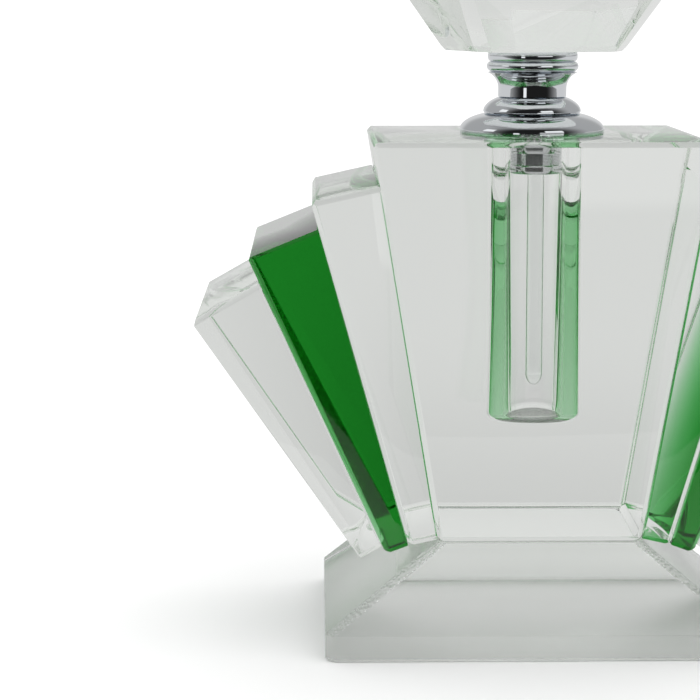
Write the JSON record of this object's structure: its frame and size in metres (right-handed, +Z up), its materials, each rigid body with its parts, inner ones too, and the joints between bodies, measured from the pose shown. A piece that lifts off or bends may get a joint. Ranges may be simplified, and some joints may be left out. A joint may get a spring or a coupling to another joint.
{
  "type": "perfume bottle",
  "caption": "Art deco crystal perfume bottle with side fans of tapered bars, a sloped foot and a screw stopper that carries a glass dipping rod into the drilled well.",
  "frame": {"origin": "centre of the foot's underside, on the table, on the axis of the well and stopper", "axes": "+Z up along the well's axis; +Y to the back, so the broad front face is towards -Y; +X to the right"},
  "size_m": [0.1078, 0.049, 0.1167],
  "materials": {
    "clear_crystal": "polished cut crystal",
    "green_crystal": "polished green crystal",
    "chrome": "mirror chrome plate",
    "seal": "soft milky seal",
    "ferrule": "moulded",
    "rod_glass": "fire-polished glass"
  },
  "bodies": {
    "bottle": {"base_plinth": "clear_crystal", "centre_block": "clear_crystal", "left_inner_bar": "clear_crystal", "left_green_bar": "green_crystal", "left_outer_bar": "clear_crystal", "right_inner_bar": "clear_crystal", "right_green_bar": "green_crystal", "right_outer_bar": "clear_crystal", "collar_flange": "chrome", "collar_sleeve": "chrome"},
    "seal": {"seal_ring": "seal"},
    "stopper": {"stopper_neck": "chrome", "stopper_stud": "chrome", "rod_ferrule": "ferrule", "applicator_rod": "rod_glass", "stopper_crystal": "clear_crystal"}
  },
  "joints": [
    {"name": "stopper_lift", "type": "slide", "parent": "bottle", "child": "seal", "axis": [0, 0, 1], "range_m": [0, 0.05]},
    {"name": "stopper_turn", "type": "hinge", "parent": "seal", "child": "stopper", "pos_m": [0, 0, 0.0848], "axis": [0, 0, 1], "range_deg": [0, 585]}
  ]
}
